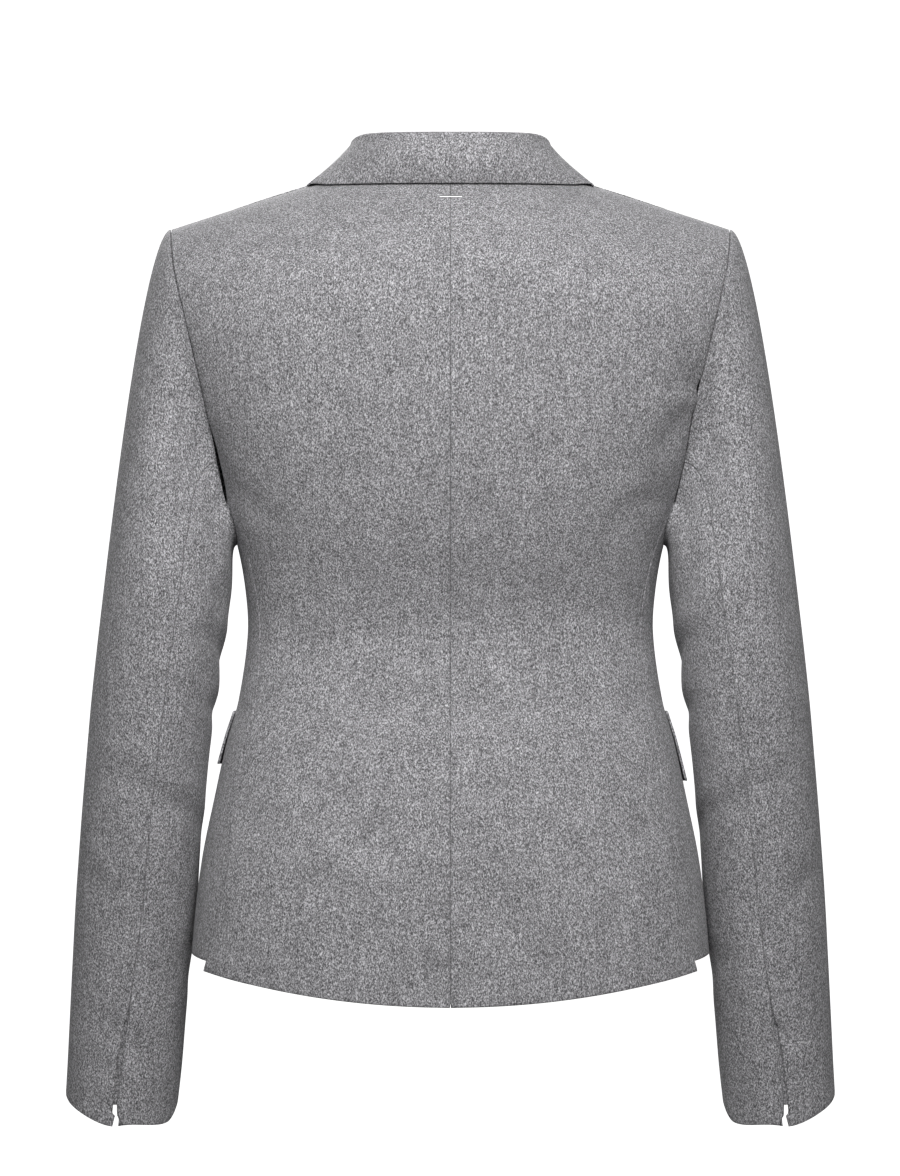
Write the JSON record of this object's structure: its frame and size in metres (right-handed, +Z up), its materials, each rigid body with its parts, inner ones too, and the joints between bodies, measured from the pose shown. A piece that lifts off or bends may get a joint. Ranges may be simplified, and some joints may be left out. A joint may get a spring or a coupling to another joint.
{
  "type": "single breasted blazer",
  "caption": "Fitted hollow blazer in worn form with a notched lapel, turned-down collar, two-piece sleeves with cuff slits, hip flaps and side vents.",
  "frame": {"origin": "middle of the neck at the height of the side neck points, where the wearer holds the blazer up", "axes": "+Z up, the front faces -Y, +X to the wearer's left"},
  "size_m": [0.5484, 0.2507, 0.7054],
  "materials": {
    "wool": "mid-grey mottled wool flannel, matt with a soft nap",
    "horn": "dark grey horn-look, satin",
    "steel": "plain satin"
  },
  "bodies": {
    "root": {"back_left": "wool", "side_left": "wool", "front_left": "wool", "lapel_left": "wool", "top_sleeve_left": "wool", "under_sleeve_left": "wool", "pocket_flap_left": "wool", "back_right": "wool", "side_right": "wool", "front_right": "wool", "lapel_right": "wool", "top_sleeve_right": "wool", "under_sleeve_right": "wool", "pocket_flap_right": "wool", "collar": "wool", "front_button": "horn", "neck_bar": "steel"}
  },
  "joints": []
}
